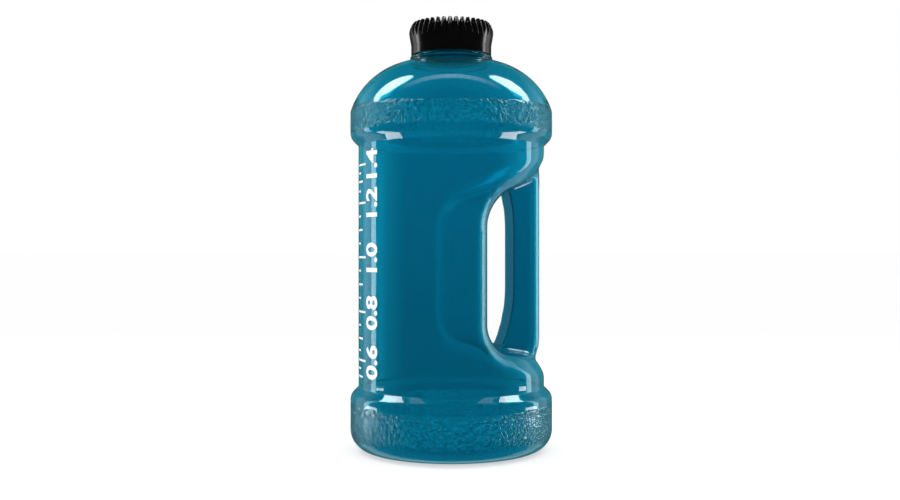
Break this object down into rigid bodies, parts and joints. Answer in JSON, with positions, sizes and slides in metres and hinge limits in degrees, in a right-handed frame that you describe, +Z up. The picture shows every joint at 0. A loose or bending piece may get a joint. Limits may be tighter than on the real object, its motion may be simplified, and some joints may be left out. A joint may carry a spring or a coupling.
{
  "type": "large water jug",
  "caption": "Large see-through water jug with a handle moulded inside its round body, textured grip bands, a domed shoulder and a fluted screw cap.",
  "frame": {"origin": "centre of the standing ring, on the surface that the jug stands on", "axes": "+Z up along the axis of the body and neck, +X towards the handle"},
  "size_m": [0.1264, 0.1264, 0.2674],
  "materials": {
    "bottle": "see-through blue-green plastic, glossy, with a pebbled texture on the two grip bands",
    "cap": "glossy black moulded plastic",
    "liner": "soft translucent white sealing disc",
    "print": "white screen-printed ink"
  },
  "bodies": {
    "jug": {"bottle": "bottle", "printed_scale": "print"},
    "disc": {"cap_liner": "liner"},
    "cap": {"cap_shell": "cap"}
  },
  "joints": [
    {"name": "cap_rise", "type": "slide", "parent": "jug", "child": "disc", "axis": [0, 0, 1], "range_m": [0, 0.01801]},
    {"name": "cap_turn", "type": "hinge", "parent": "disc", "child": "cap", "pos_m": [0, 0, 0.255], "axis": [0, 0, 1], "range_deg": [0, 1080]}
  ],
  "couplings": [
    {"joint": "cap_rise", "follows": "cap_turn", "m_per_rad": 0.00095493}
  ]
}
